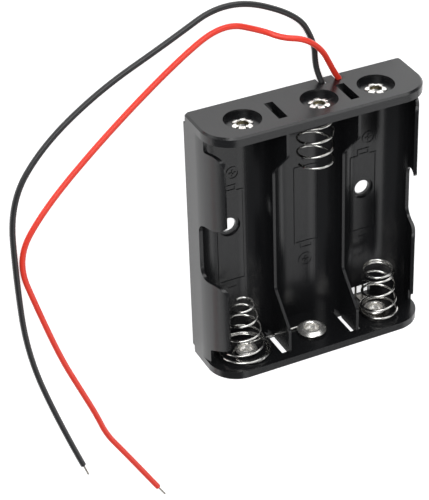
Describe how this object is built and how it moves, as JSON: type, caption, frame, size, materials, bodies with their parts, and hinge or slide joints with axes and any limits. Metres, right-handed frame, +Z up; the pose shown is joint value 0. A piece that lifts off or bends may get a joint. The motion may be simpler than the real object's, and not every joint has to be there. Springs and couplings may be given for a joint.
{
  "type": "cylindrical cell holder",
  "caption": "Open-topped black holder that grips cylindrical cells side by side on springs and contact buttons, with a black and a red flying lead.",
  "frame": {"origin": "middle of the underside of the moulded housing, which lies on its back", "axes": "+X across the bays, +Y along the cells towards the end where the leads leave, +Z up out of the open face"},
  "size_m": [0.0852, 0.1141, 0.014],
  "materials": {
    "black_plastic": "satin moulded black plastic",
    "nickel_strip": "bright nickel-plated steel strip",
    "nickel_rivet": "bright nickel-plated rivet",
    "spring_steel": "bright nickel-plated spring wire",
    "solder_metal": "dull bright solder",
    "tinned_strand": "tinned bare strand",
    "black_insulation": "smooth black cable insulation",
    "red_insulation": "smooth red cable insulation"
  },
  "bodies": {
    "root": {"housing": "black_plastic", "terminal_plate_black": "nickel_strip", "terminal_plate_red": "nickel_strip", "strand_black_inner": "tinned_strand", "strand_red_inner": "tinned_strand", "solder_black": "solder_metal", "solder_red": "solder_metal", "lead_black_inside": "black_insulation", "lead_red_inside": "red_insulation", "lead_black": "black_insulation", "lead_red": "red_insulation", "lead_black_bare_end": "tinned_strand", "lead_red_bare_end": "tinned_strand", "spring_lower_left": "spring_steel", "spring_upper_centre": "spring_steel", "spring_lower_right": "spring_steel", "rivet_upper_left": "nickel_rivet", "rivet_upper_centre": "nickel_rivet", "rivet_upper_right": "nickel_rivet", "rivet_lower_left": "nickel_rivet", "rivet_lower_centre": "nickel_rivet", "rivet_lower_right": "nickel_rivet"}
  },
  "joints": []
}
